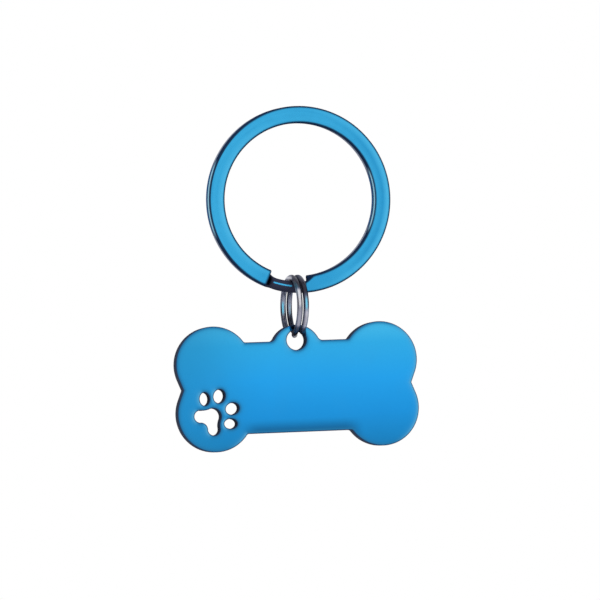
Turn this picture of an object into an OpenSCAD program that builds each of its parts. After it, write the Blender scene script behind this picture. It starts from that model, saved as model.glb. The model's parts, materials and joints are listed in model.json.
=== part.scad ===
// Pet identity tag: a bone plate hung from a flat split key ring by a small round-wire split ring.

/* [Key ring] */
// Outside diameter of the key ring
key_od = 30; // [24:0.5:36]
// Width of the flat band, from its inner to its outer edge
band_w = 2.76; // [2.2:0.02:3.4]
// Thickness of one turn of the band
band_t = 1.15; // [0.9:0.05:1.4]
// Rounding of the long edges of the band
band_edge = 0.34; // [0.15:0.01:0.4]
// Hairline between the two turns of the band
band_gap = 0.1; // [0.05:0.01:0.3]
// Diameter of the round crank that joins the two turns
crank_d = 1.86; // [1.4:0.02:2]
// Where the front turn ends, left of straight down
front_end_angle = 22; // [20:0.5:26]
// Where the back turn ends, right of straight down
back_end_angle = 6.4; // [6.2:0.1:9]

/* [Small link ring] */
// Outside diameter of the small ring
link_od = 10.15; // [9:0.05:12]
// Diameter of its round wire
wire_d = 0.9; // [0.7:0.01:1]
// Gap between its two turns
turn_gap = 0.15; // [0.1:0.01:0.3]
// Half the angle over which the wire crosses from one turn to the other
cross_angle = 27; // [22:1:34]
// Angle between each cut end of the wire and the crossing
end_gap_angle = 2; // [1:0.5:4]

/* [Bone plate] */
// Thickness of the plate
plate_t = 2.4; // [1.6:0.1:2.6]
// Height of the straight middle of the bone
waist_h = 14.62; // [13:0.02:15]
// Radius of each of the four knobs
knob_r = 6.12; // [5.6:0.02:6.4]
// Sideways distance from the middle to a knob's centre
knob_x = 13.65; // [12.5:0.05:16]
// Height of a knob's centre above the middle line
knob_z = 3.9; // [3.5:0.05:4.2]
// Slant of the straight flanks that meet in each end notch
flank_angle = 21.5; // [15:0.5:24]
// Fillet where a knob meets the waist
waist_fillet = 0.5; // [0.2:0.1:0.8]

/* [Ear with the hole] */
// Radius of the rounded ear on the top edge
ear_r = 4.05; // [3.8:0.05:4.3]
// Height of the centre of the ear's arc above the middle line
ear_z = 5.85; // [5.7:0.05:6.2]
// Fillet at the foot of the ear
ear_fillet = 0.9; // [0.3:0.1:1.2]
// Diameter of the hole for the small ring
hole_d = 3.2; // [3:0.05:3.4]
// Height of the hole's centre above the middle line
hole_up = 7.43; // [7.2:0.01:7.6]

/* [Paw cut-out] */
// Sideways distance from the middle to the paw's own centre
paw_x = 13.6; // [13:0.05:14]
// Distance of the paw's own centre below the middle line
paw_z = 3.85; // [3.6:0.05:4.2]
// How far the paw leans to the right
paw_lean = 45; // [0:5:90]
// Radius of the top of the pad
pad_top_r = 1.32; // [1.1:0.02:1.5]
// Distance from the paw's centre down to the middle of the pad's top
pad_top_z = 0.68; // [0.5:0.02:0.9]
// Radius of the two lower corners of the pad
pad_side_r = 0.96; // [0.8:0.02:1.1]
// Sideways distance to a lower corner's centre
pad_side_x = 1.5; // [1.4:0.02:1.6]
// Distance from the paw's centre down to a lower corner's centre
pad_side_z = 2.05; // [1.9:0.02:2.2]
// Distance from the paw's centre down to the arch under the pad
pad_arch_z = 2.38; // [2.3:0.02:2.5]
// Radius of the hollow on each flank of the pad
pad_hollow_r = 2.6; // [2:0.1:4]
// Half length and half width of an inner toe
inner_toe = [1.095, 0.93]; // [0.8:0.005:1.2]
// Sideways and upward place of an inner toe
inner_toe_at = [1.45, 2.4]; // [1.2:0.05:2.6]
// Outward lean of an inner toe
inner_toe_lean = 29; // [0:1:50]
// Half length and half width of an outer toe
outer_toe = [1.04, 0.79]; // [0.7:0.005:1.15]
// Sideways and upward place of an outer toe
outer_toe_at = [2.885, 0.45]; // [0.3:0.05:3]
// Outward lean of an outer toe
outer_toe_lean = 46; // [0:1:60]

/* [As it hangs] */
// Free height between the crank and the top of the small ring's opening
link_play = 0.18; // [0.1:0.01:0.3]
// Free height between the wire and the top of the plate's hole
plate_play = 0.06; // [0.06:0.01:0.3]
// How far the small ring hangs left of the key ring's middle
link_off = 0.67; // [0.3:0.01:1.5]
// Turn of the small ring about the upright line, its front to the right
link_turn = 4.9; // [0:0.1:8]
// Lean of the plate, its right side up
plate_lean = 1.5; // [-4:0.1:4]
// Tilt of the plate, slid round the small ring so that its foot comes forward
plate_tilt = 4; // [0:0.5:6]

/* [Hidden] */
$fn = 96;

// Length by which cuts run past a face
overrun = 1;
// How much smaller a piece is made where it runs inside another
inset = 0.012;
// How far a fillet's arc sinks into the edges that it joins
sink = 0.004;

// Key ring: radii, and the two turns' places along its axis, front positive
key_r = key_od / 2;
key_in = key_r - band_w;
band_r = key_r - band_w / 2;
crank_r = crank_d / 2;
crank_path = key_r - crank_r;
leaf_at = (band_gap + band_t) / 2;

// The crank's angles from straight down, right positive: round between the first two,
// then flat to a turn's thickness by the third and at a turn's full width by the fourth
crank_round_to = [1.8, -17];
crank_flat_to = [5.6, -front_end_angle + 0.9];
crank_widen_from = [3.4, -15.5];
crank_wide_to = [12, -front_end_angle - 5.5];
// How far each end of the crank's shaped stretches runs on into its neighbour, in degrees
crank_bury = 1;
crank_steps = 14;
crank_sides = 24;

// Small ring: mean radius, spacing of its turns, and its centre below the key ring's centre
wire_r = wire_d / 2;
link_r = link_od / 2 - wire_r;
pitch = wire_d + turn_gap;
link_hub = crank_path + link_r - wire_r - crank_r - link_play;
// How far each end of the crossing runs on into the turn that it joins, in degrees
cross_bury = 2;
cross_steps = 28;
wire_sides = 24;

// Plate: how far below the small ring's centre its hole sits, so that both edges of the
// hole's top clear the bent wire
wire_dip = sqrt(link_r * link_r - plate_t * plate_t / 4);
rim_room = sqrt(hole_d * hole_d / 4 - pitch * pitch / 4);
hole_drop = wire_dip - wire_r * link_r / wire_dip - plate_play + rim_room;

function smooth(t) = let (c = min(1, max(0, t))) c * c * (3 - 2 * c);
function mix(a, b, t) = a + (b - a) * t;
function sgn(v) = v < 0 ? -1 : 1;

// A rounded-rectangle section of half sizes w and h and corner c, as points [across, along]
function section(w, h, c, n) = [for (j = [0 : n - 1])
    let (a = (j + 0.5) * 360 / n)
    [sgn(cos(a)) * (w - c) + c * cos(a), sgn(sin(a)) * (h - c) + c * sin(a)]];

// One section of the crank at angle a from straight down; side 0 is the right, 1 the left
function crank_ring(a, side) =
    let (flat = smooth((a - crank_round_to[side]) / (crank_flat_to[side] - crank_round_to[side])),
         wide = smooth((a - crank_widen_from[side]) / (crank_wide_to[side] - crank_widen_from[side])),
         w = mix(crank_r, band_w / 2, wide) - inset,
         h = mix(crank_r, band_t / 2, flat) - inset,
         c = min(w, h, mix(crank_r, band_edge, flat)),
         r = mix(crank_path, band_r, wide),
         y = leaf_at * flat * (side == 0 ? -1 : 1))
    [for (p = section(w, h, c, crank_sides))
        [(r + p[0]) * sin(a), y - p[1], -(r + p[0]) * cos(a)]];

function crank_rings(side) =
    let (from = min(crank_round_to[side], crank_wide_to[side]) - crank_bury,
         to = max(crank_round_to[side], crank_wide_to[side]) + crank_bury)
    [for (i = [0 : crank_steps]) crank_ring(mix(from, to, i / crank_steps), side)];

// Place of the small ring's wire while it crosses, a degrees from straight down, front positive
function cross_x(a) = mix(-pitch / 2, pitch / 2, smooth((cross_angle - a) / (2 * cross_angle)));
function cross_ring(a) =
    let (step = 0.01,
         slope = (cross_x(a + step) - cross_x(a - step)) / (2 * step * PI / 180),
         along = [slope, -link_r * cos(a), link_r * sin(a)] / norm([slope, link_r]),
         out = [0, -sin(a), -cos(a)],
         side = cross(along, out),
         mid = [cross_x(a), 0, 0] + link_r * out)
    [for (j = [0 : wire_sides - 1])
        let (b = (j + 0.5) * 360 / wire_sides)
        mid + (wire_r - inset / 2) * (cos(b) * out + sin(b) * side)];
cross_from = cross_angle + cross_bury;
cross_rings = [for (i = [0 : cross_steps]) cross_ring(mix(cross_from, -cross_from, i / cross_steps))];

// Least distances of each wound piece to itself, measured on its section points
check_step = 0.5;
function least(v) = min([for (r = v) min([for (p = r) p])]);
crank_left_gap = least([for (a = [-front_end_angle : -check_step : crank_wide_to[1]])
    [for (p = crank_ring(a, 1)) p[1] + band_gap / 2]]);
crank_right_gap = least([for (a = [back_end_angle : check_step : crank_wide_to[0]])
    [for (p = crank_ring(a, 0)) band_gap / 2 - p[1]]]);
echo("key ring: least gap between its turns, mm", min(band_gap, crank_left_gap, crank_right_gap));
free_end = [pitch / 2, -link_r * sin(cross_angle + end_gap_angle), -link_r * cos(cross_angle + end_gap_angle)];
cross_gap = least([for (r = cross_rings) [for (p = r) norm(p - free_end) - wire_r]]);
echo("small ring: least gap between its turns, mm", min(turn_gap, cross_gap));

// A closed tube through a list of sections
module tube(rings) {
    n = len(rings[0]);
    m = len(rings);
    points = [for (r = rings) each r];
    sides = [for (i = [0 : m - 2], j = [0 : n - 1])
        let (a = i * n + j, b = i * n + (j + 1) % n)
        each [[a, b, a + n], [b, b + n, a + n]]];
    start = [for (j = [n - 1 : -1 : 0]) j];
    end = [for (j = [0 : n - 1]) (m - 1) * n + j];
    polyhedron(points, concat(sides, [start, end]), convexity = 4);
}

// Turns a ring drawn flat, front up, to stand with its front towards -Y
module stand() {
    rotate([90, 0, 0]) children();
}

module band_section() {
    flat_w = band_w - 2 * band_edge;
    flat_t = band_t - 2 * band_edge;
    square([flat_w, band_t], center = true);
    square([band_w, flat_t], center = true);
    for (x = [-flat_w / 2, flat_w / 2], y = [-flat_t / 2, flat_t / 2])
        translate([x, y]) circle(r = band_edge);
}

// One turn of the band, between two angles from straight down, on one side of the hairline
module band_turn(from, to, side) {
    stand()
        translate([0, 0, side * leaf_at])
            rotate_extrude(angle = to - from, start = from - 90)
                translate([band_r, 0]) band_section();
}

module key_ring() {
    color("#33a2d8")
        translate([0, 0, -key_in]) {
            band_turn(crank_wide_to[0], 360 - front_end_angle, 1);
            band_turn(back_end_angle, 360 + crank_wide_to[1], -1);
            stand()
                rotate_extrude(angle = crank_round_to[0] - crank_round_to[1], start = crank_round_to[1] - 90)
                    translate([crank_path, 0]) circle(r = crank_r);
            for (side = [0, 1]) tube(crank_rings(side));
        }
}

// One turn of the small ring's wire between two angles from straight down, front positive
module wire_turn(from, to, x) {
    translate([x, 0, 0])
        rotate([0, 0, -90])
            rotate([90, 0, 0])
                rotate_extrude(angle = to - from, start = from - 90)
                    translate([link_r, 0]) circle(r = wire_r);
}

module link_ring() {
    color("#5d7f9e")
        translate([-link_off, 0, -key_in - link_hub])
            rotate([0, 0, link_turn]) {
                wire_turn(cross_angle, 360 - cross_angle - end_gap_angle, -pitch / 2);
                wire_turn(cross_angle + end_gap_angle, 360 - cross_angle, pitch / 2);
                tube(cross_rings);
            }
}

// A quarter fillet in the corner between the plate's straight edge and an arc that rises from it:
// the arc's centre c and radius r, the straight edge's height h, the fillet f, on the side s
module edge_fillet(c, r, h, f, s) {
    lift = h + f - c[1];
    run = sqrt((r + f) * (r + f) - lift * lift);
    hub = [c[0] + s * run, h + f];
    in_arc = c + [s * run, lift] * (r - f / 2) / (r + f);
    wedge = [hub, [hub[0], h - f / 2], [c[0] + s * r / 4, h - f / 2], in_arc];
    difference() {
        polygon(s < 0 ? wedge : [for (i = [3 : -1 : 0]) wedge[i]]);
        translate(hub) circle(r = f + sink);
    }
}

module bone_outline() {
    square([2 * knob_x, waist_h], center = true);
    touch = [knob_x, knob_z] + (knob_r - sink) * [cos(flank_angle), -sin(flank_angle)];
    notch = touch[0] - touch[1] * tan(flank_angle);
    for (turn = [0, 180]) rotate(turn) {
        polygon([[knob_x - knob_r, -touch[1]], [touch[0], -touch[1]], [notch, 0],
                 touch, [knob_x - knob_r, touch[1]]]);
        for (s = [-1, 1]) {
            translate([s * knob_x, knob_z]) circle(r = knob_r);
            edge_fillet([s * knob_x, knob_z], knob_r, waist_h / 2, waist_fillet, -s);
        }
    }
    for (s = [-1, 1]) edge_fillet([0, ear_z], ear_r, waist_h / 2, ear_fillet, s);
    translate([0, ear_z]) circle(r = ear_r);
}

// Centre of the circle of radius f that touches two circles from outside, to the left of a to b
function between(a, ra, b, rb, f) =
    let (d = norm(b - a), u = (b - a) / d,
         t = ((ra + f) * (ra + f) - (rb + f) * (rb + f) + d * d) / (2 * d),
         h = sqrt((ra + f) * (ra + f) - t * t))
    a + t * u + h * [-u[1], u[0]];

module pad() {
    top = [0, -pad_top_z];
    low = [pad_side_x, -pad_side_z];
    arch_up = pad_arch_z - pad_side_z;
    arch_r = (pad_side_x * pad_side_x + arch_up * arch_up - pad_side_r * pad_side_r)
        / (2 * (pad_side_r - arch_up));
    arch = [0, -pad_arch_z - arch_r];
    hollow = between(top, pad_top_r, low, pad_side_r, pad_hollow_r);
    at_top = top + (hollow - top) * pad_top_r / (pad_top_r + pad_hollow_r);
    at_low = low + (hollow - low) * pad_side_r / (pad_side_r + pad_hollow_r);
    at_arch = low + (arch - low) * pad_side_r / (pad_side_r + arch_r);
    translate(top) circle(r = pad_top_r);
    for (s = [-1, 1]) translate([s * low[0], low[1]]) circle(r = pad_side_r);
    difference() {
        polygon([top, [-at_top[0], at_top[1]], [-at_low[0], at_low[1]], [-low[0], low[1]],
                 [-at_arch[0], at_arch[1]], at_arch, low, at_low, at_top]);
        translate(arch) circle(r = arch_r + sink);
        for (s = [-1, 1]) translate([s * hollow[0], hollow[1]]) circle(r = pad_hollow_r + sink);
    }
}

module toe(size, at, lean) {
    for (s = [-1, 1])
        translate([s * at[0], at[1]])
            rotate(90 - s * lean)
                scale(size) circle(r = 1);
}

module paw() {
    translate([-paw_x, -paw_z])
        rotate(-paw_lean) {
            pad();
            toe(inner_toe, inner_toe_at, inner_toe_lean);
            toe(outer_toe, outer_toe_at, outer_toe_lean);
        }
}

module bone_tag() {
    color("#2f9fe0")
        translate([-link_off, 0, -key_in - link_hub])
            rotate([-plate_tilt, 0, 0])
                translate([0, 0, -hole_drop])
                    rotate([0, -plate_lean, 0])
                        translate([0, 0, -hole_up])
                            stand()
                                difference() {
                                    linear_extrude(height = plate_t, center = true) bone_outline();
                                    translate([0, 0, -plate_t / 2 - overrun])
                                        linear_extrude(height = plate_t + 2 * overrun) paw();
                                    translate([0, hole_up, 0])
                                        cylinder(d = hole_d, h = plate_t + 2 * overrun, center = true);
                                }
}

key_ring();
link_ring();
bone_tag();
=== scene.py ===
# Pet id tag as it hangs: a bone plate on a small split ring on a flat key ring, dressed for the
# photograph. Lengths are in metres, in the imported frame, whose front is -Y.
import json
import math

import bmesh
import bpy
from mathutils import Matrix, Vector
from mathutils.geometry import delaunay_2d_cdt
from mathutils.kdtree import KDTree


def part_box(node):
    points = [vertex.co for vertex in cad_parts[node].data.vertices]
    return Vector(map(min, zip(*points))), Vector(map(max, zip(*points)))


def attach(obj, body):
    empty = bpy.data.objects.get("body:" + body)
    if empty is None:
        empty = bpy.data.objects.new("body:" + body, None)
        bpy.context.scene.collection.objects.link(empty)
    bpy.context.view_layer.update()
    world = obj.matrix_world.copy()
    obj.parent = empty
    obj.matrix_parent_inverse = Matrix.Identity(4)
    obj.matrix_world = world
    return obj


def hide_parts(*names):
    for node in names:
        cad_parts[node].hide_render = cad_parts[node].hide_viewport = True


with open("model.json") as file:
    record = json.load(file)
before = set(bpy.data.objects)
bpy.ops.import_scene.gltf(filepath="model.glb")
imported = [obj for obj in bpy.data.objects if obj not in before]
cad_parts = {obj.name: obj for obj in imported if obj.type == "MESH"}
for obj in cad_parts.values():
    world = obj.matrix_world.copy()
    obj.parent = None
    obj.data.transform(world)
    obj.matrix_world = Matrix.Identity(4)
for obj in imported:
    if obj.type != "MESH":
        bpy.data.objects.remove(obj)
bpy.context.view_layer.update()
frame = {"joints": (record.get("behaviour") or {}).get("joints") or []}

# Key ring: one length of flat spring-steel band wound twice, with its ends cut square. Where one
# turn passes to the other the band is forged to a round crank, on which the small ring swings.
# It is polished and vapour coated blue; its rounded edges and the crank are painted nearly black,
# a painted shade for the dark they mirror.
mm = 0.001
key_low, key_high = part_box("key_ring")
key_outer = (key_high.x - key_low.x) / 2
band_width = key_high.z
band_radius = key_outer - band_width / 2
key_centre = Vector((0, 0, key_high.z - key_outer))
turn_hairline = 0.1 * mm
band_thick = (key_high.y - key_low.y - turn_hairline) / 2
turn_offset = (band_thick + turn_hairline) / 2
band_rounding = 0.34 * mm
band_crown = 0.03 * mm
band_chamfer = 0.1 * mm
crank_radius = 0.93 * mm
crank_path = key_outer - crank_radius
# Angles in degrees from straight down, right positive: the free ends, and for the crank's right
# and left shoulders where it is still round, where it is flat, and the stretch that widens
front_free_end, back_free_end = 338.0, -353.6
right_shoulder = {"round": 1.8, "flat": 5.6, "narrow": 3.4, "wide": 12.0}
left_shoulder = {"round": -17.0, "flat": -21.1, "narrow": -15.5, "wide": -27.5}
flat_stops = (-1.0, -0.86, -0.4, 0.0, 0.4, 0.86)
corner_steps = 5
fine_step, coarse_step = 0.5, 1.5
# Where its tones begin and end: in degrees, the painted dark tips at the free ends and the end of
# the crank's painted dark; the ring's sides, on the sine of the angle; and on the lean round a
# corner, see band_loop, the painted dark edges, wider on faces that look left, and the painted
# reflection lines on the narrow sides
rear_tip, front_tip = (342, 347), (front_free_end - 1.2, front_free_end - 0.5)
crank_end = (21.5, 25.5)
ring_sides = (0.9, 0.96)
edge_from, edge_to = 0.66, 1.15
outer_edge, inner_edge, left_edge_fade = 1.1, 0.8, 0.5
front_line_end, rear_line_end = 0.5, 0.25


def ease(value, start, end):
    t = min(1.0, max(0.0, (value - start) / (end - start)))
    return t * t * (3 - 2 * t)


def mix(a, b, t):
    return a + (b - a) * t


def band_loop(half_wide, half_thick, rounding, crown):
    """Points (outward, through, lean) round a crowned, rounded rectangle: lean is 0 on its narrow
    sides, grows to 1 round their corners, and goes on growing over the faces."""
    loop = []
    for side in range(4):
        out, along = (half_wide, half_thick) if side % 2 == 0 else (half_thick, half_wide)
        out, along = out - crown, along - crown - rounding
        turn = Matrix.Rotation(math.radians(90 * side), 2)
        narrow = side % 2 == 0
        for s in flat_stops:
            p = turn @ Vector((out + crown * (1 - s * s), s * along))
            loop.append((p.x, p.y, 0.0 if narrow else 1 + (1 - abs(s)) * along / band_rounding))
        for j in range(corner_steps):
            a = 0.5 * math.pi * j / corner_steps
            p = turn @ Vector((out - rounding + rounding * math.cos(a), along + rounding * math.sin(a)))
            loop.append((p.x, p.y, j / corner_steps if narrow else 1 - j / corner_steps))
    return loop


def band_station(angle, shrink):
    """One section of the band at an angle, drawn in by shrink: its points and their masks. Edge, for
    the painted dark edges, is 1 on the narrow sides and their corners, more widely where these face
    left; front_line, rear_line and dull_line are painted reflection lines along the two turns' narrow
    sides; flare, for a painted highlight, is the side of a face that turns to the right; deep, for
    painted shade, is the middle of the right side, and the bottom; crank, painted dark as painted
    shade, is the crank."""
    flat = ease(angle, right_shoulder["round"], right_shoulder["flat"]) \
        + ease(angle, left_shoulder["round"], left_shoulder["flat"])
    wide = ease(angle, right_shoulder["narrow"], right_shoulder["wide"]) \
        + ease(angle, left_shoulder["narrow"], left_shoulder["wide"])
    behind = turn_offset * (1 if angle < 0 else -1) * flat
    half_wide = mix(crank_radius, band_width / 2, wide) - shrink
    half_thick = mix(crank_radius, band_thick / 2, flat) - shrink
    path = mix(crank_path, band_radius, wide)
    loop = band_loop(half_wide, half_thick, band_rounding - shrink, band_crown)
    a = math.radians(angle)
    beside = ease(abs(math.sin(a)), *ring_sides)
    tip = ease(-angle, *rear_tip) + ease(angle, *front_tip)
    crank = 1 - ease(-angle, *crank_end) if angle < 0 else 1 - ease(flat, 0.0, 0.8)
    points = []
    for j, (out, through, lean) in enumerate(loop):
        b = 2 * math.pi * (j - len(flat_stops) / 2) / len(loop)
        out = mix(crank_radius * math.cos(b), out, flat)
        through = mix(crank_radius * math.sin(b), through, flat)
        left = ease(-out / half_wide * math.sin(a), 0.1, 0.9)
        widest = outer_edge if out > 0 else inner_edge
        edge = 1 - ease(lean, mix(edge_from, widest, left), mix(edge_to, widest + left_edge_fade, left))
        edge = max(tip, mix(1.0, edge, ease(flat, 0.3, 0.9))) if shrink == 0 else 1.0
        line_end = front_line_end if through < 0 else rear_line_end
        line = left * (1 - ease(lean, line_end - 0.2, line_end + 0.15)) * flat if shrink == 0 else 0.0
        to_front = -through / half_thick
        front_line = line * beside * ease(to_front, 0.0, 0.3) if angle > 0 else 0.0
        rear_line = line * beside if angle < 0 else 0.0
        dull_line = line * (1 - beside) * ease(to_front, -0.45, -0.1) if angle < 0 else 0.0
        amid = max(0.0, 1 - 1.3 * abs(out) / half_wide) * ease(math.sin(a), 0.3, 0.9)
        deep = max(amid, 0.8 * ease(math.cos(a), 0.75, 1.0))
        flare = out / half_wide * math.sin(a) * (1 - edge)
        place = Vector(((path + out) * math.sin(a), behind + through, -(path + out) * math.cos(a)))
        points.append((key_centre + place, edge, front_line, rear_line, dull_line, flare, deep, crank))
    return points


def keep_masks(mesh, masks):
    for name, values in masks.items():
        mesh.attributes.new(name, "FLOAT", "POINT").data.foreach_set("value", values)


def closed_mesh(name, verts, faces, masks):
    """A smooth mesh whose faces turn outward, with its masks kept as attributes."""
    mesh = bpy.data.meshes.new(name)
    mesh.from_pydata(verts, [], faces)
    keep_masks(mesh, masks)
    shell = bmesh.new()
    shell.from_mesh(mesh)
    bmesh.ops.recalc_face_normals(shell, faces=shell.faces)
    shell.to_mesh(mesh)
    shell.free()
    mesh.shade_smooth()
    return mesh


def between_rings(start, rings, count):
    """The faces that join rings of points, one after the other, from the vertex at start."""
    for first in range(start, start + (rings - 1) * count, count):
        for j in range(count):
            a, b = first + j, first + (j + 1) % count
            yield a, b, b + count, a + count


def tube_mesh(name, stations, mask_names):
    """A closed tube through stations of points, each given with its mask values."""
    count = len(stations[0])
    verts = [p for ring in stations for p, *_ in ring]
    faces = [tuple(range(count)), tuple(range(len(verts) - count, len(verts)))]
    faces += between_rings(0, len(stations), count)
    masks = {mask: [v[k + 1] for ring in stations for v in ring] for k, mask in enumerate(mask_names)}
    return closed_mesh(name, verts, faces, masks)


cut_support = 0.03 * mm
cut_back = math.degrees(band_chamfer / band_radius)
stations = [(front_free_end, band_chamfer + cut_support), (front_free_end, band_chamfer)]
angle = front_free_end - cut_back
while angle > back_free_end + cut_back:
    stations.append((angle, 0.0))
    angle -= fine_step if left_shoulder["wide"] < angle < right_shoulder["wide"] else coarse_step
stations += [(back_free_end + cut_back, 0.0), (back_free_end, band_chamfer),
             (back_free_end, band_chamfer + cut_support)]
key_band = bpy.data.objects.new("key_ring_band", tube_mesh(
    "key_ring_band", [band_station(a, s) for a, s in stations],
    ["edge", "front_line", "rear_line", "dull_line", "flare", "deep", "crank"]))
bpy.context.scene.collection.objects.link(key_band)


def colour(red, green, blue):
    """A colour given as it shows on a screen, 0 to 255, as the light values that nodes take."""
    def light(v):
        v /= 255
        return v / 12.92 if v <= 0.04045 else ((v + 0.055) / 1.055) ** 2.4
    return (light(red), light(green), light(blue), 1.0)


def add(tree, kind, links=None, **settings):
    """A node with its settings; links gives an input's value, or the socket that feeds it."""
    node = tree.nodes.new(kind)
    for key, value in settings.items():
        setattr(node, key, value)
    for key, value in (links or {}).items():
        socket = node.inputs[key]
        if isinstance(value, bpy.types.NodeSocket):
            tree.links.new(value, socket)
        else:
            socket.default_value = value
    return node


def new_group(name, inputs, outputs):
    """A node group for shaders, and the sockets that give its inputs inside it."""
    group = bpy.data.node_groups.new(name, "ShaderNodeTree")
    for kind, socket_name, value in inputs:
        socket = group.interface.new_socket(
            name=socket_name, in_out="INPUT", socket_type="NodeSocket" + kind)
        socket.default_value = value
    for kind, socket_name in outputs:
        group.interface.new_socket(name=socket_name, in_out="OUTPUT", socket_type="NodeSocket" + kind)
    return group, add(group, "NodeGroupInput").outputs


def maths(tree, operation, *values, clamp=False):
    """The result of a maths node on values or sockets."""
    links = dict(enumerate(values))
    return add(tree, "ShaderNodeMath", links, operation=operation, use_clamp=clamp).outputs[0]


def graded(tree, value, start, end, first=0.0, last=1.0, smooth=False):
    """What passes from first to last as a value passes from start to end."""
    return add(tree, "ShaderNodeMapRange", {
        "Value": value, "From Min": start, "From Max": end, "To Min": first, "To Max": last},
        interpolation_type="SMOOTHSTEP" if smooth else "LINEAR").outputs["Result"]


def use_group(tree, group, values):
    return add(tree, "ShaderNodeGroup", values, node_tree=group).outputs


# The coat: a vapour coat's colour drifts softly over a piece, and goes to a second tone by a mask
coat_tone, gin = new_group("coat_tone", [
    ("Color", "Coat", (0.03, 0.3, 0.7, 1)), ("Color", "Other Tone", (0.1, 0.4, 0.8, 1)),
    ("Float", "Mask", 0.0), ("Float", "Drift", 0.1), ("Float", "Drift Scale", 80.0)],
    [("Color", "Colour")])
where = add(coat_tone, "ShaderNodeTexCoord").outputs["Object"]
cloud = add(coat_tone, "ShaderNodeTexNoise", {
    "Vector": where, "Scale": gin["Drift Scale"], "Detail": 3.0, "Roughness": 0.5})
centred = maths(coat_tone, "SUBTRACT", cloud.outputs["Fac"], 0.5)
drifted = maths(coat_tone, "MULTIPLY", centred, gin["Drift"])
masked = maths(coat_tone, "ADD", drifted, gin["Mask"], clamp=True)
toned = add(coat_tone, "ShaderNodeMix", {"Factor": masked, "A": gin["Coat"], "B": gin["Other Tone"]},
            data_type="RGBA")
add(coat_tone, "NodeGroupOutput", {"Colour": toned.outputs["Result"]})

# Handling: fine rub marks from tumbling and use, which dull the gloss and catch the light
rub_marks, gin = new_group("rub_marks", [
    ("Float", "Polish", 0.1), ("Float", "Dulling", 0.1), ("Float", "Mark Scale", 300.0),
    ("Float", "Mark Depth", 0.01), ("Float", "Mark Height", 0.00001)],
    [("Float", "Roughness"), ("Vector", "Normal")])
where = add(rub_marks, "ShaderNodeTexCoord").outputs["Object"]
stretch = add(rub_marks, "ShaderNodeMapping", {
    "Vector": where, "Rotation": (0.3, 0.9, 0.2), "Scale": (1, 1, 9)})
smear = add(rub_marks, "ShaderNodeTexNoise", {"Vector": where, "Scale": 160.0, "Detail": 4.0})
marks = add(rub_marks, "ShaderNodeTexNoise", {
    "Vector": stretch.outputs[0], "Scale": gin["Mark Scale"], "Detail": 6.0, "Roughness": 0.7})
dull = maths(rub_marks, "MULTIPLY", smear.outputs["Fac"], gin["Dulling"])
relief = add(rub_marks, "ShaderNodeBump", {
    "Height": marks.outputs["Fac"], "Strength": gin["Mark Depth"], "Distance": gin["Mark Height"]})
add(rub_marks, "NodeGroupOutput", {
    "Roughness": maths(rub_marks, "ADD", dull, gin["Polish"]), "Normal": relief.outputs[0]})

# Round the ring: a point's distance from a centre at a height, the way out to it, its turn in
# degrees from straight down, right positive, and its place through the ring
round_ring, gin = new_group("round_ring", [("Float", "Centre Height", 0.0)], [
    ("Float", "Radius"), ("Vector", "Way Out"), ("Float", "Turn"), ("Float", "Through")])
where = add(round_ring, "ShaderNodeSeparateXYZ", {
    0: add(round_ring, "ShaderNodeTexCoord").outputs["Object"]}).outputs
above = maths(round_ring, "SUBTRACT", where["Z"], gin["Centre Height"])
spoke = add(round_ring, "ShaderNodeCombineXYZ", {"X": where["X"], "Z": above}).outputs[0]
length = add(round_ring, "ShaderNodeVectorMath", {0: spoke}, operation="LENGTH")
way = add(round_ring, "ShaderNodeVectorMath", {0: spoke}, operation="NORMALIZE")
bearing = maths(round_ring, "ARCTAN2", where["X"], maths(round_ring, "MULTIPLY", above, -1.0))
add(round_ring, "NodeGroupOutput", {
    "Radius": length.outputs["Value"], "Way Out": way.outputs["Vector"],
    "Turn": maths(round_ring, "DEGREES", bearing), "Through": where["Y"]})

# A stripe: 1 within a half width of a place on a value, falling softly to 0 at its sides
stripe, gin = new_group("stripe", [
    ("Float", "Value", 0.0), ("Float", "Place", 0.0), ("Float", "Half Width", 1.0),
    ("Float", "Softness", 1.0)], [("Float", "Mask")])
far = maths(stripe, "ABSOLUTE", maths(stripe, "SUBTRACT", gin["Value"], gin["Place"]))
reach = maths(stripe, "ADD", gin["Half Width"], gin["Softness"])
faded = graded(stripe, far, gin["Half Width"], reach, first=1.0, last=0.0, smooth=True)
add(stripe, "NodeGroupOutput", {"Mask": faded})


def mask_of(tree, name):
    return add(tree, "ShaderNodeAttribute", attribute_name=name).outputs["Fac"]


def on_stripe(tree, value, place, half_width, softness):
    return use_group(tree, stripe, {
        "Value": value, "Place": place, "Half Width": half_width, "Softness": softness})["Mask"]


def over(tree, coat, other_tone, mask, drift=0.0, drift_scale=80.0):
    """A coat's colour that passes to another tone by a mask."""
    return use_group(tree, coat_tone, {
        "Coat": coat, "Other Tone": other_tone, "Mask": mask, "Drift": drift,
        "Drift Scale": drift_scale})["Colour"]


def metal(name, polish, mark_scale, mark_depth):
    """A polished metal with rub marks, turned matt where the mask edge is 1: the material, its tree
    and the socket for its colour."""
    material = bpy.data.materials.new(name)
    material.use_nodes = True
    tree = material.node_tree
    shader = tree.nodes["Principled BSDF"].inputs
    shader["Specular IOR Level"].default_value = 0.0
    worn = use_group(tree, rub_marks, {
        "Polish": polish, "Dulling": 0.12, "Mark Scale": mark_scale, "Mark Depth": mark_depth,
        "Mark Height": 0.004 * mm})
    tree.links.new(maths(tree, "SUBTRACT", 1.0, mask_of(tree, "edge")), shader["Metallic"])
    tree.links.new(worn["Roughness"], shader["Roughness"])
    tree.links.new(worn["Normal"], shader["Normal"])
    return material, tree, shader["Base Color"]


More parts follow.
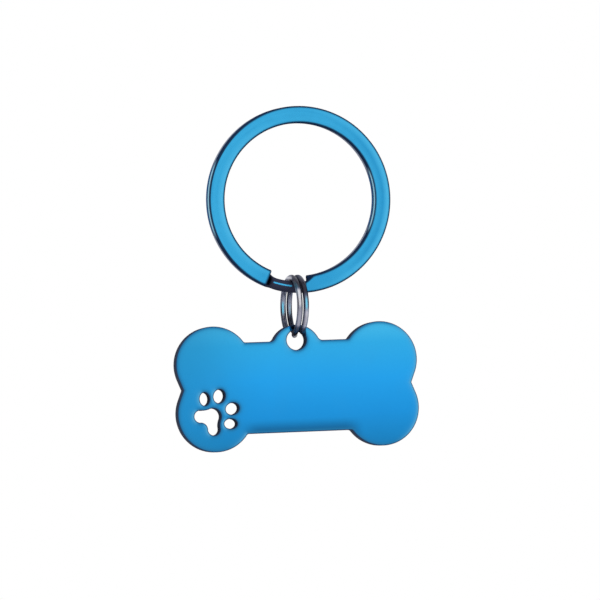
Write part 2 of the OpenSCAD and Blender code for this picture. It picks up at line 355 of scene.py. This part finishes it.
band_face_colour = colour(59, 170, 221)
band_streak_and_shade_colour = colour(46, 152, 206)
band_highlight_colour = colour(82, 187, 233)
band_shaded_edge_colour = colour(20, 37, 63)
front_line_colour = colour(138, 186, 208)
rear_line_colour = colour(50, 88, 132)
dull_line_colour = colour(136, 142, 160)
crank_shade_colour = colour(44, 46, 63)
crank_highlight_colour = colour(62, 160, 206)
band_coat, tree, base = metal("blue_band_coat", polish=0.1, mark_scale=900.0, mark_depth=0.1)
spot = use_group(tree, round_ring, {"Centre Height": key_centre.z})
# Streaks drawn along the band: long round the ring, thin across it
way_round, layer_width = 1.6, 0.45 * mm
around = add(tree, "ShaderNodeVectorMath", {0: spot["Way Out"], "Scale": way_round}, operation="SCALE")
layer = add(tree, "ShaderNodeCombineXYZ", {"Y": maths(tree, "MULTIPLY", spot["Radius"], 1 / layer_width)})
drawn = add(tree, "ShaderNodeVectorMath", {0: around.outputs[0], 1: layer.outputs[0]}, operation="ADD")
streaks = add(tree, "ShaderNodeTexNoise", {"Vector": drawn.outputs[0], "Scale": 1.0, "Detail": 3.0})
streaky = graded(tree, streaks.outputs["Fac"], 0.42, 0.75, last=0.45)
# Painted shade down the middle of the right side and along the bottom, joined with the streaks
deeper = maths(tree, "MAXIMUM", streaky, mask_of(tree, "deep"))
tone = over(tree, band_face_colour, band_streak_and_shade_colour, deeper, drift=0.25, drift_scale=150.0)
# Painted highlight on the side of each face that turns to the right
flare = graded(tree, mask_of(tree, "flare"), 0.05, 0.8)
tone = over(tree, tone, band_highlight_colour, flare, drift=0.3, drift_scale=300.0)
# Painted shade: the rounded edges, narrow sides and cut tips dark
tone = over(tree, tone, band_shaded_edge_colour, mask_of(tree, "edge"), drift=0.1, drift_scale=900.0)
# Painted reflection lines along the narrow sides
for mask, line_colour in (("front_line", front_line_colour), ("rear_line", rear_line_colour),
                          ("dull_line", dull_line_colour)):
    tone = over(tree, tone, line_colour, mask_of(tree, mask))
# Painted shade: the crank dark
tone = over(tree, tone, crank_shade_colour, mask_of(tree, "crank"), drift=0.1, drift_scale=900.0)
# The crank's one bright line, a painted highlight on the stretch where the small ring swings:
# round its section, to its front
outward = maths(tree, "SUBTRACT", spot["Radius"], crank_path)
round_wire = maths(tree, "DEGREES", maths(tree, "ARCTAN2", spot["Through"], outward))
on_front = on_stripe(tree, round_wire, place=-100.0, half_width=4.0, softness=6.0)
on_stretch = on_stripe(tree, spot["Turn"], place=-11.6, half_width=5.6, softness=1.2)
crank_highlight_line = maths(tree, "MULTIPLY", maths(tree, "MULTIPLY", on_front, on_stretch), mask_of(tree, "crank"))
tree.links.new(over(tree, tone, crank_highlight_colour, crank_highlight_line), base)
key_band.data.materials.append(band_coat)
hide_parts("key_ring")
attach(key_band, "key_ring")

# Small split ring: one length of round spring wire wound twice. At the bottom it crosses from one
# turn to the other as a single strand, which lies in the plate's hole; its ends are cut square
# beside the crossing. Its slate, mauve, pale and sky blue tones are painted highlights and painted
# reflections along the strands, darker towards their flanks, over a coat that drifts to brown at
# random.
link_joint, tag_joint = frame["joints"]
link_outer = 5.075 * mm
wire_radius = 0.45 * mm
wire_gap = 0.15 * mm
link_radius = link_outer - wire_radius
wire_pitch = 2 * wire_radius + wire_gap
link_hang = 17.135 * mm
link_centre = Vector((link_joint["pos_m"][0], 0, key_centre.z - link_hang))
link_turn = math.atan2(link_joint["axis"][1], link_joint["axis"][0])
# Angles in degrees from straight down: half the crossing, and the wire's ends
crossing_half, wire_first, wire_last = 27.0, 331.0, -331.0
coil_sections, wire_sides = 460, 32

coil_tree = bpy.data.node_groups.new("split_ring_coil", "GeometryNodeTree")
coil_inputs = {"Ring Radius": link_radius, "Wire Radius": wire_radius, "Pitch": wire_pitch,
               "Half Crossing": math.radians(crossing_half), "First Angle": math.radians(wire_first),
               "Last Angle": math.radians(wire_last)}
for name in coil_inputs:
    coil_tree.interface.new_socket(name=name, in_out="INPUT", socket_type="NodeSocketFloat")
coil_tree.interface.new_socket(name="Material", in_out="INPUT", socket_type="NodeSocketMaterial")
coil_tree.interface.new_socket(name="Geometry", in_out="OUTPUT", socket_type="NodeSocketGeometry")
gin = add(coil_tree, "NodeGroupInput").outputs
line = add(coil_tree, "GeometryNodeCurvePrimitiveLine")
path = add(coil_tree, "GeometryNodeResampleCurve", {
    "Curve": line.outputs["Curve"], "Count": coil_sections})
along = add(coil_tree, "GeometryNodeSplineParameter")
turned = graded(coil_tree, along.outputs["Factor"], 0.0, 1.0, gin["First Angle"], gin["Last Angle"])
minus_half = maths(coil_tree, "MULTIPLY", gin["Half Crossing"], -1.0)
half_pitch = maths(coil_tree, "MULTIPLY", gin["Pitch"], 0.5)
minus_pitch = maths(coil_tree, "MULTIPLY", half_pitch, -1.0)
minus_radius = maths(coil_tree, "MULTIPLY", gin["Ring Radius"], -1.0)
place = add(coil_tree, "ShaderNodeCombineXYZ", {
    "X": graded(coil_tree, turned, minus_half, gin["Half Crossing"], half_pitch, minus_pitch, smooth=True),
    "Y": maths(coil_tree, "MULTIPLY", maths(coil_tree, "SINE", turned), minus_radius),
    "Z": maths(coil_tree, "MULTIPLY", maths(coil_tree, "COSINE", turned), minus_radius)})
wound = add(coil_tree, "GeometryNodeSetPosition", {
    "Geometry": path.outputs["Curve"], "Position": place.outputs["Vector"]})
profile = add(coil_tree, "GeometryNodeCurvePrimitiveCircle", {
    "Resolution": wire_sides, "Radius": gin["Wire Radius"]})
tube = add(coil_tree, "GeometryNodeCurveToMesh", {
    "Curve": wound.outputs["Geometry"], "Profile Curve": profile.outputs["Curve"], "Fill Caps": True})
smooth = add(coil_tree, "GeometryNodeSetShadeSmooth", {"Geometry": tube.outputs["Mesh"]})
real = add(coil_tree, "GeometryNodeRealizeInstances", {"Geometry": smooth.outputs["Geometry"]})
painted = add(coil_tree, "GeometryNodeSetMaterial", {
    "Geometry": real.outputs["Geometry"], "Material": gin["Material"]})
add(coil_tree, "NodeGroupOutput", {"Geometry": painted.outputs["Geometry"]})

wire_ink = colour(36, 38, 50)
wire_slate = colour(84, 92, 114)
wire_mauve = colour(158, 160, 176)
wire_pale_highlight = colour(222, 222, 228)
wire_sky_highlight = colour(116, 206, 238)
wire_brown = colour(98, 78, 72)
wire_coat, tree, base = metal("slate_wire_coat", polish=0.22, mark_scale=1500.0, mark_depth=0.1)
# Painted highlight and shade: the gleam mask runs from ink through slate and mauve to pale, and the sky
# mask paints sky blue highlights
gleam = add(tree, "ShaderNodeValToRGB", {"Fac": mask_of(tree, "gleam")})
ramp = gleam.color_ramp
ramp.elements[0].color, ramp.elements[1].color = wire_ink, wire_pale_highlight
ramp.elements.new(0.33).color = wire_slate
ramp.elements.new(0.7).color = wire_mauve
tone = over(tree, gleam.outputs["Color"], wire_brown, mask=0.15, drift=0.9, drift_scale=450.0)
tone = over(tree, tone, wire_sky_highlight, mask_of(tree, "sky"), drift=0.15, drift_scale=700.0)
tree.links.new(tone, base)

coil_blank = bpy.data.objects.new("coil_blank", bpy.data.meshes.new("coil_blank"))
bpy.context.scene.collection.objects.link(coil_blank)
winding = coil_blank.modifiers.new("winding", "NODES")
winding.node_group = coil_tree
coil_sockets = {s.name: s.identifier for s in coil_tree.interface.items_tree if s.in_out == "INPUT"}
for name, value in coil_inputs.items():
    winding[coil_sockets[name]] = value
winding[coil_sockets["Material"]] = wire_coat
coil_made = coil_blank.evaluated_get(bpy.context.evaluated_depsgraph_get())
coil_mesh = bpy.data.meshes.new_from_object(coil_made)
bpy.data.objects.remove(coil_blank)

# The painted highlights and shade of the four strands that stand between the top and the bottom
# of the coil. Gleam, the painted highlight, is how bright a strand is at heights from the coil's
# bottom, -1, to its top, 1, and place is where across the wire, right positive; sky says where the
# painted highlight is sky blue instead of mauve: from and to a height, how much, and where across.
strands = {
    ("left", "back"): {
        "gleam": [(-0.6, 0.15), (-0.45, 0.6), (-0.3, 0.7), (0.5, 0.6), (0.7, 0.15), (0.85, 0.9)],
        "place": -0.05, "sky": (-0.15, 0.0, 1.0, -0.3)},
    ("right", "back"): {
        "gleam": [(-0.55, 0.05), (-0.42, 0.15), (-0.3, 0.5), (-0.1, 0.8), (0.1, 0.6), (0.45, 0.45),
                  (0.7, 0.1)],
        "place": 0.0, "sky": (-0.2, -0.05, 0.35, -0.1)},
    ("left", "front"): {
        "gleam": [(-0.99, 0.8), (-0.9, 0.05), (-0.68, 0.1), (-0.56, 0.7), (-0.05, 0.68), (0.12, 1.0),
                  (0.5, 1.0), (0.66, 0.08)],
        "place": -0.2, "sky": (0.5, 0.65, 0.15, -0.7)},
    ("right", "front"): {
        "gleam": [(-0.72, 0.1), (-0.6, 0.75), (-0.2, 0.8), (0.0, 0.6), (0.3, 0.5), (0.5, 0.05),
                  (0.75, 0.05), (0.9, 0.2)],
        "place": 0.1, "sky": (0.05, 0.18, 1.0, -0.1)},
}
gleam_half, gleam_fade, gleam_least = 0.25, 0.55, 0.6
sky_half, sky_fade, sky_rise = 0.15, 0.35, 0.2
turn_over = 0.12
top_gleam, top_slant = 0.85, 0.35


def along_points(points, at):
    """The value at a place between given (place, value) points."""
    for (a, low), (b, high) in zip(points, points[1:]):
        if at < b:
            return mix(low, high, ease(at, a, b))
    return points[-1][1]


def strand_tones(strand, level, side):
    """A strand's painted gleam and its painted sky blue highlight at a height and a place across the wire.
    """
    across = 1 - ease(abs(side - strand["place"]), gleam_half, gleam_half + gleam_fade)
    sky_from, sky_to, share, sky_place = strand["sky"]
    blue = ease(level, sky_from - sky_rise, sky_from) * (1 - ease(level, sky_to, sky_to + sky_rise))
    return (along_points(strand["gleam"], level) * mix(gleam_least, 1.0, across),
            share * blue * (1 - ease(abs(side - sky_place), sky_half, sky_half + sky_fade)))


coil_masks = {"edge": [], "gleam": [], "sky": []}
for vertex in coil_mesh.vertices:
    hand = "right" if vertex.co.x > 0 else "left"
    level, depth = vertex.co.z / link_outer, vertex.co.y / link_outer
    side = (vertex.co.x - math.copysign(wire_pitch / 2, vertex.co.x)) / wire_radius
    # Front and back pass softly into each other; the rear of the left turn's top has a painted
    # highlight, with no dark edge, further forward on its left
    behind = ease(depth, -turn_over, turn_over)
    top = ease(level, 0.8, 0.9) * (1 - 0.6 * ease(level, 0.91, 0.98)) if hand == "left" else 0.0
    top *= ease(depth - top_slant * min(0.0, side), -turn_over, turn_over)
    front_gleam, front_sky = strand_tones(strands[hand, "front"], level, side)
    back_gleam, back_sky = strand_tones(strands[hand, "back"], level, side)
    coil_masks["edge"].append((1 - ease(abs(vertex.normal.y), 0.1, 0.45)) * (1 - top))
    coil_masks["gleam"].append(max(top_gleam * top, mix(front_gleam, back_gleam, behind)))
    coil_masks["sky"].append(mix(front_sky, back_sky, behind))
keep_masks(coil_mesh, coil_masks)
coil_mesh.transform(Matrix.Translation(link_centre) @ Matrix.Rotation(link_turn, 4, "Z"))
link_wire = bpy.data.objects.new("split_ring_wire", coil_mesh)
bpy.context.scene.collection.objects.link(link_wire)
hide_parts("link_ring")
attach(link_wire, "link_ring")

# Bone plate: one stamping from thick sheet, tumbled so that its edges are softly rounded, with a
# hole through its ear and a paw cut through one end. It is polished and vapour coated blue, with a
# painted reflection that makes it sky blue at the top and deeper towards the foot; its edges and
# cut walls are painted nearly black as painted shade.
plate_low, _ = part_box("bone_tag")
plate_thick = 2.4 * mm
plate_lean, plate_tilt = math.radians(1.5), math.radians(4.0)
hole_centre = Vector(tag_joint["pos_m"])
hole_up = 7.43 * mm
waist_half = 7.31 * mm
knob_radius = 6.12 * mm
knob_across, knob_up = 13.65 * mm, 3.9 * mm
flank_angle = 21.5
waist_fillet = 0.5 * mm
ear_radius, ear_up, ear_fillet = 4.05 * mm, 5.85 * mm, 0.9 * mm
hole_radius = 1.6 * mm
edge_round = 0.2 * mm
edge_steps = 6
outline_step, cut_step = 3.0, 6.0


def arc(centre, radius, start, end, step=cut_step):
    """Points from angle start to just before end, in degrees, counter-clockwise where end is more."""
    count = max(2, math.ceil(abs(end - start) / step))
    angles = [math.radians(mix(start, end, i / count)) for i in range(count)]
    return [Vector((centre[0] + radius * math.cos(a), centre[1] + radius * math.sin(a))) for a in angles]


def turned_over(points):
    """The points' mirror images left to right, in reverse, so that they too go counter-clockwise."""
    return [Vector((-p.x, p.y)) for p in reversed(points)]


def foot_fillet(centre, radius, fillet):
    """Where a fillet between the waist's edge and an arc above it has its centre, to the arc's right,
    and the angle at which it leaves the arc."""
    lift = waist_half + fillet - centre[1]
    run = math.sqrt((radius + fillet) ** 2 - lift ** 2)
    return Vector((centre[0] + run, waist_half + fillet)), math.degrees(math.atan2(lift, run))


def bone_outline():
    """The outline, counter-clockwise: the right half from the bottom up, then the same turned over."""
    knob_hub, knob_leave = foot_fillet((-knob_across, knob_up), knob_radius, waist_fillet)
    knob_hub.x *= -1
    ear_hub, ear_leave = foot_fillet((0, ear_up), ear_radius, ear_fillet)
    touch = Vector((knob_across + knob_radius * math.cos(math.radians(flank_angle)),
                    knob_up - knob_radius * math.sin(math.radians(flank_angle))))
    notch = touch.x - touch.y * math.tan(math.radians(flank_angle))
    upper = [Vector((notch, 0))]
    upper += arc((knob_across, knob_up), knob_radius, -flank_angle, 180 - knob_leave, outline_step)
    upper += arc(knob_hub, waist_fillet, -knob_leave, -90, outline_step)
    upper += [Vector((knob_hub.x, waist_half))]
    ear = arc(ear_hub, ear_fillet, -90, -180 + ear_leave, outline_step)
    ear += arc((0, ear_up), ear_radius, ear_leave, 90, outline_step)
    top = upper + ear + [Vector((0, ear_up + ear_radius))]
    top += turned_over((upper + ear)[1:])
    low = [Vector((-p.x, -p.y)) for p in upper]
    return top + low + turned_over(low[1:])


paw_centre = Vector((-13.6, -3.85)) * mm
paw_lean = -45.0
pad_top, pad_top_radius = Vector((0, -0.68)) * mm, 1.32 * mm
pad_low, pad_low_radius = Vector((1.5, -2.05)) * mm, 0.96 * mm
pad_arch, pad_hollow = 2.38 * mm, 2.6 * mm
toes = [{"size": (1.095, 0.93), "at": (1.45, 2.4), "lean": 29.0},
        {"size": (1.04, 0.79), "at": (2.885, 0.45), "lean": 46.0}]


def heading(a, b):
    return math.degrees(math.atan2(b[1] - a[1], b[0] - a[0]))


def pad_outline():
    """Three round lobes joined by hollow arcs on both flanks and underneath, counter-clockwise."""
    reach = (pad_low - pad_top).length
    ahead = (pad_low - pad_top) / reach
    near, far = pad_top_radius + pad_hollow, pad_low_radius + pad_hollow
    t = (near ** 2 - far ** 2 + reach ** 2) / (2 * reach)
    hollow = pad_top + t * ahead + math.sqrt(near ** 2 - t ** 2) * Vector((-ahead.y, ahead.x))
    rise = pad_arch + pad_low.y
    arch_radius = (pad_low.x ** 2 + rise ** 2 - pad_low_radius ** 2) / (2 * (pad_low_radius - rise))
    arch = Vector((0, -pad_arch - arch_radius))
    lobe = arc(pad_low, pad_low_radius, heading(pad_low, arch), heading(pad_low, hollow))
    flank = arc(hollow, pad_hollow, heading(hollow, pad_low) % 360, heading(hollow, pad_top) % 360)
    crown = arc(pad_top, pad_top_radius, heading(pad_top, hollow), 90)
    right = lobe + flank + crown
    under = arc(arch, arch_radius, 180 - heading(arch, pad_low), heading(arch, pad_low))
    return right + [pad_top + Vector((0, pad_top_radius))] + turned_over(right) + under[1:]


def toe_outline(toe, side):
    half_long, half_wide = toe["size"]
    turn = Matrix.Rotation(math.radians(90 - side * toe["lean"]), 2)
    at = Vector((side * toe["at"][0], toe["at"][1]))
    return [(at + turn @ Vector((half_long * p.x, half_wide * p.y))) * mm for p in arc((0, 0), 1, 0, 360)]


paw_turn = Matrix.Rotation(math.radians(paw_lean), 2)
cuts = [pad_outline()] + [toe_outline(toe, side) for toe in toes for side in (-1, 1)]
cuts = [[paw_centre + paw_turn @ p for p in cut] for cut in cuts]
cuts.append([Vector((0, hole_up)) + p for p in arc((0, 0), hole_radius, 0, 360)])
longest_side = 0.45 * mm


def evenly(loop):
    """The loop with its long sides divided."""
    points = []
    for a, b in zip(loop, loop[1:] + loop[:1]):
        count = math.ceil((b - a).length / longest_side)
        points += [a.lerp(b, i / count) for i in range(count)]
    return points


loops = [evenly(bone_outline())] + [list(reversed(cut)) for cut in cuts]


def drawn_in(loop, distance):
    """The loop moved into the metal, which lies to its left."""
    moved = []
    for i, p in enumerate(loop):
        before, after = (p - loop[i - 1]).normalized(), (loop[(i + 1) % len(loop)] - p).normalized()
        inward = Vector((-before.y - after.y, before.x + after.x))
        inward /= max(0.3, inward.length_squared / 2)
        moved.append(p + inward * distance)
    return moved


# Each step of the rounded edge: how far in, how deep, and its masks edge and wall
edge_profile = [(edge_round * (1 - math.cos(a)), edge_round * (1 - math.sin(a)),
                 1 - ease(i / edge_steps, 0.7, 1.0), 1 - ease(i / edge_steps, 0.0, 0.5))
                for i in range(edge_steps + 1) for a in [0.5 * math.pi * i / edge_steps]]
rim_inset = edge_round + 0.04 * mm
edge_profile.append((rim_inset, 0.0, 0.0, 0.0))
fall_reach = 0.22 * mm
near_rows = (0.12 * mm, 0.3 * mm, 0.55 * mm)
grid_step = 0.6 * mm

rim_loops = [drawn_in(loop, rim_inset) for loop in loops]
rim_points = [p for loop in rim_loops for p in loop]
rim_right = [ease((p - q).normalized().x, 0.2, 0.9)
             for loop in loops for p, q in zip(loop, drawn_in(loop, edge_round))]
near_rim = KDTree(len(rim_points))
for i, p in enumerate(rim_points):
    near_rim.insert((p.x, p.y, 0), i)
near_rim.balance()


def inside(point, loop):
    hit = False
    for i, a in enumerate(loop):
        b = loop[i - 1]
        if (a.y > point.y) != (b.y > point.y):
            if point.x < a.x + (b.x - a.x) * (point.y - a.y) / (b.y - a.y):
                hit = not hit
    return hit


def on_face(point):
    return inside(point, rim_loops[0]) and not any(inside(point, cut) for cut in rim_loops[1:])


def face_net():
    """Points that fill a face within its rims: rows close to every rim, then an even net."""
    net = [p for distance in near_rows for loop in loops for p in drawn_in(loop, rim_inset + distance)
           if near_rim.find((p.x, p.y, 0))[2] > 0.95 * distance]
    half_long, half_high = knob_across + knob_radius, ear_up + ear_radius
    for i in range(int(2 * half_long / grid_step) + 1):
        for j in range(int(2 * half_high / grid_step) + 1):
            p = Vector((-half_long + (i + 0.5 * (j % 2)) * grid_step, -half_high + j * grid_step))
            if near_rim.find((p.x, p.y, 0))[2] > near_rows[-1] + 0.4 * grid_step and on_face(p):
                net.append(p)
    return net


def plate_mesh(name):
    """The plate: rounded edges ring by ring, and flat faces filled with the net. Its masks are edge
    and wall, for the painted dark edges and walls, dim_rim and lit_rim, for painted shade and a
    painted highlight just inside the edges, and the place across and up it, in mm."""
    half = plate_thick / 2
    rings = [(inset, -half + depth, *masks) for inset, depth, *masks in reversed(edge_profile)]
    rings += [(inset, half - depth, *masks) for inset, depth, *masks in edge_profile]
    verts, faces, sides = [], [], []
    rims = {-half: [], half: []}
    masks = {"edge": [], "wall": [], "dim_rim": [], "lit_rim": []}
    for loop in loops:
        start, count = len(verts), len(loop)
        for inset, y, edge, wall in rings:
            verts += [Vector((p.x, y, p.y)) for p in drawn_in(loop, inset)]
            masks["edge"] += [edge] * count
            masks["wall"] += [wall] * count
        faces += between_rings(start, len(rings), count)
        first = len(rims[half])
        sides += [(first + j, first + (j + 1) % count) for j in range(count)]
        rims[-half] += range(start, start + count)
        rims[half] += range(len(verts) - count, len(verts))
    flat = [p / mm for p in rim_points + face_net()]
    made, _, net_faces, source, _, _ = delaunay_2d_cdt(flat, sides, [], 0, 1e-5)
    made = [p * mm for p in made]
    for y, rim in rims.items():
        index = {}
        for k, p in enumerate(made):
            at = source[k][0]
            if at < len(rim):
                index[k] = rim[at]
            else:
                index[k] = len(verts)
                verts.append(Vector((p.x, y, p.y)))
                masks["edge"].append(0.0)
                masks["wall"].append(0.0)
        for face in net_faces:
            if on_face(sum((made[k] for k in face), Vector((0, 0))) / len(face)):
                faces.append(tuple(index[k] for k in (face if y < 0 else reversed(face))))
    for v in verts:
        _, at, distance = near_rim.find((v.x, v.z, 0))
        fall = math.exp(-distance / fall_reach)
        masks["dim_rim"].append(fall * (1 - rim_right[at]))
        masks["lit_rim"].append(fall * rim_right[at])
    masks["across"], masks["height"] = [v.x / mm for v in verts], [v.z / mm for v in verts]
    return closed_mesh(name, verts, faces, masks)


bone_mesh = plate_mesh("bone_plate")
bone_mesh.transform(Matrix.Translation(hole_centre) @ Matrix.Rotation(-plate_tilt, 4, "X")
                    @ Matrix.Rotation(-plate_lean, 4, "Y") @ Matrix.Translation((0, 0, -hole_up)))
bone_plate = bpy.data.objects.new("bone_plate", bone_mesh)
bpy.context.scene.collection.objects.link(bone_plate)

plate_foot_shade_colour = colour(29, 128, 190)
plate_deep_colour = colour(32, 147, 220)
plate_mid_colour = colour(38, 161, 234)
plate_high_colour = colour(50, 171, 230)
plate_top_light_colour = colour(68, 184, 233)
plate_shade_colour = colour(23, 90, 140)
plate_end_shade_colour = colour(38, 136, 188)
plate_dim_colour = colour(40, 118, 166)
plate_lit_colour = colour(84, 164, 208)
rim_shade_colour = colour(32, 58, 92)
wall_shade_colour = colour(54, 60, 75)
ear_shade_colour = colour(28, 40, 62)
ear_line_colour = colour(26, 132, 212)
plate_coat, tree, base = metal("blue_plate_coat", polish=0.08, mark_scale=700.0, mark_depth=0.08)
height, across = mask_of(tree, "height"), mask_of(tree, "across")
# Painted reflection: the face lighter towards the top and deeper towards the foot
foot, head = -9.5, 9.5
rise = add(tree, "ShaderNodeValToRGB", {"Fac": graded(tree, height, foot, head)})
ramp = rise.color_ramp
ramp.elements[0].color, ramp.elements[1].color = plate_foot_shade_colour, plate_top_light_colour
for level, tone in ((-4.5, plate_deep_colour), (1.0, plate_mid_colour), (6.7, plate_high_colour)):
    ramp.elements.new((level - foot) / (head - foot)).color = tone
# Painted shade: deeper along the waist's lower edge, at the paw's end and just inside every edge
# but those that face right, where a painted highlight makes it lighter; the rounded edges and the
# cut walls are painted dark as painted shade
waist_low = graded(tree, height, -7.6, -4.9, first=1.0, last=0.0, smooth=True)
waist_stretch = on_stripe(tree, across, place=0.3, half_width=7.0, softness=3.5)
waist_shade = maths(tree, "MULTIPLY", waist_low, waist_stretch)
paw_end = graded(tree, across, -20.0, -3.0, first=0.58, last=0.0, smooth=True)
tone = rise.outputs["Color"]
for other_tone, mask, drift, drift_scale in (
        (plate_shade_colour, waist_shade, 0.12, 120.0), (plate_end_shade_colour, paw_end, 0.25, 90.0),
        (plate_dim_colour, mask_of(tree, "dim_rim"), 0.1, 200.0),
        (plate_lit_colour, mask_of(tree, "lit_rim"), 0.1, 200.0),
        (rim_shade_colour, mask_of(tree, "edge"), 0.0, 80.0), (wall_shade_colour, mask_of(tree, "wall"), 0.0, 80.0)):
    tone = over(tree, tone, other_tone, mask, drift, drift_scale)
# Painted reflection: the ear mirrors the dark wire of the small ring close to it, up to a slanted
# blue line to its left
slant_way = (0.803, 0.596, 0)
on_plate = add(tree, "ShaderNodeCombineXYZ", {"X": across, "Y": height})
slant = add(tree, "ShaderNodeVectorMath", {0: on_plate.outputs[0], 1: slant_way}, operation="DOT_PRODUCT")
slant = slant.outputs["Value"]
over_hole = on_stripe(tree, height, place=10.0, half_width=1.8, softness=0.3)
amid_ear = on_stripe(tree, across, place=0.0, half_width=1.5, softness=0.2)
by_wire = maths(tree, "MULTIPLY", over_hole, amid_ear)
ear_shade = maths(tree, "MULTIPLY", by_wire, graded(tree, slant, 4.88, 4.98))
tone = over(tree, tone, ear_shade_colour, ear_shade)
slant_line = on_stripe(tree, slant, place=4.74, half_width=0.08, softness=0.12)
ear_line = maths(tree, "MULTIPLY", slant_line, over_hole)
off_edge = maths(tree, "SUBTRACT", 1.0, mask_of(tree, "edge"))
tree.links.new(over(tree, tone, ear_line_colour, maths(tree, "MULTIPLY", ear_line, off_edge)), base)
bone_plate.data.materials.append(plate_coat)
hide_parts("bone_tag")
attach(bone_plate, "bone_tag")

# Studio: a pale floor well below the hanging tag, a white surround, and one wide soft lamp above.
# In the metal the surround is white too, with a dim stretch to either side that draws the edges.
floor_level = plate_low.z - 70 * mm
floor_reach = 1.6
bpy.ops.mesh.primitive_circle_add(
    vertices=96, radius=floor_reach, fill_type="NGON", location=(0, 0, floor_level))
floor = bpy.context.object
floor.name = "studio_floor"
floor_paint = bpy.data.materials.new("studio_floor_paint")
floor_paint.use_nodes = True
tree = floor_paint.node_tree
matt = tree.nodes["Principled BSDF"]
matt.inputs["Base Color"].default_value = (0.9, 0.9, 0.9, 1)
matt.inputs["Roughness"].default_value = 0.9
matt.inputs["Specular IOR Level"].default_value = 0.0
glow = add(tree, "ShaderNodeEmission", {"Color": (1, 1, 1, 1), "Strength": 1.0})
rays = add(tree, "ShaderNodeLightPath").outputs
seen = maths(tree, "ADD", rays["Is Camera Ray"], rays["Is Glossy Ray"], clamp=True)
spread = add(tree, "ShaderNodeVectorMath", {
    0: add(tree, "ShaderNodeTexCoord").outputs["Object"]}, operation="LENGTH")
away = graded(tree, spread.outputs["Value"], 0.12, 0.4, smooth=True)
surface = add(tree, "ShaderNodeMixShader", {
    0: maths(tree, "MULTIPLY", seen, away), 1: matt.outputs[0], 2: glow.outputs[0]})
tree.links.new(surface.outputs[0], tree.nodes["Material Output"].inputs["Surface"])
floor.data.materials.append(floor_paint)

scene = bpy.context.scene
scene.world = bpy.data.worlds.new("studio_surround")
scene.world.use_nodes = True
tree = scene.world.node_tree
tree.nodes.clear()
rays = add(tree, "ShaderNodeLightPath").outputs
way = add(tree, "ShaderNodeSeparateXYZ", {0: add(tree, "ShaderNodeTexCoord").outputs["Generated"]})
dim = graded(tree, maths(tree, "ABSOLUTE", way.outputs["X"]), 0.72, 0.9, first=1.0, last=0.08, smooth=True)
in_mirror = maths(tree, "MAXIMUM", rays["Is Glossy Ray"], rays["Is Transmission Ray"])
in_metal = add(tree, "ShaderNodeMix", {"Factor": in_mirror, "A": 0.85, "B": dim}, data_type="FLOAT")
level = add(tree, "ShaderNodeMix", {
    "Factor": rays["Is Camera Ray"], "A": in_metal.outputs["Result"], "B": 1.0}, data_type="FLOAT")
sky = add(tree, "ShaderNodeBackground", {"Color": (1, 1, 1, 1), "Strength": level.outputs["Result"]})
add(tree, "ShaderNodeOutputWorld", {"Surface": sky.outputs[0]})

soft_lamp = bpy.data.lights.new("soft_lamp", "AREA")
soft_lamp.shape = "RECTANGLE"
soft_lamp.size, soft_lamp.size_y = 0.5, 0.3
soft_lamp.energy = 2.0
lamp = bpy.data.objects.new("soft_lamp", soft_lamp)
lamp.location = (0.05, -0.45, 0.32)
lamp.rotation_euler = (key_centre - lamp.location).to_track_quat("-Z", "Y").to_euler()
lamp.visible_glossy = False
scene.collection.objects.link(lamp)

# Camera: on the photograph's side, a little to the left of the tag and a little above it
camera_yaw, camera_rise, camera_reach = math.radians(12.351), math.radians(1.041), 0.5
camera_target = Vector((0.00023, 0, key_centre.z - 0.016128))
camera_lens = bpy.data.cameras.new("photo_camera")
camera_lens.sensor_width = 36.0
camera_lens.lens = 186.71
camera_lens.clip_start, camera_lens.clip_end = 0.01, 10.0
camera = bpy.data.objects.new("photo_camera", camera_lens)
back = Vector((-math.sin(camera_yaw) * math.cos(camera_rise),
               -math.cos(camera_yaw) * math.cos(camera_rise), math.sin(camera_rise)))
camera.location = camera_target + camera_reach * back
camera.rotation_euler = (-back).to_track_quat("-Z", "Y").to_euler()
scene.collection.objects.link(camera)
scene.camera = camera
scene.view_settings.view_transform = "Standard"
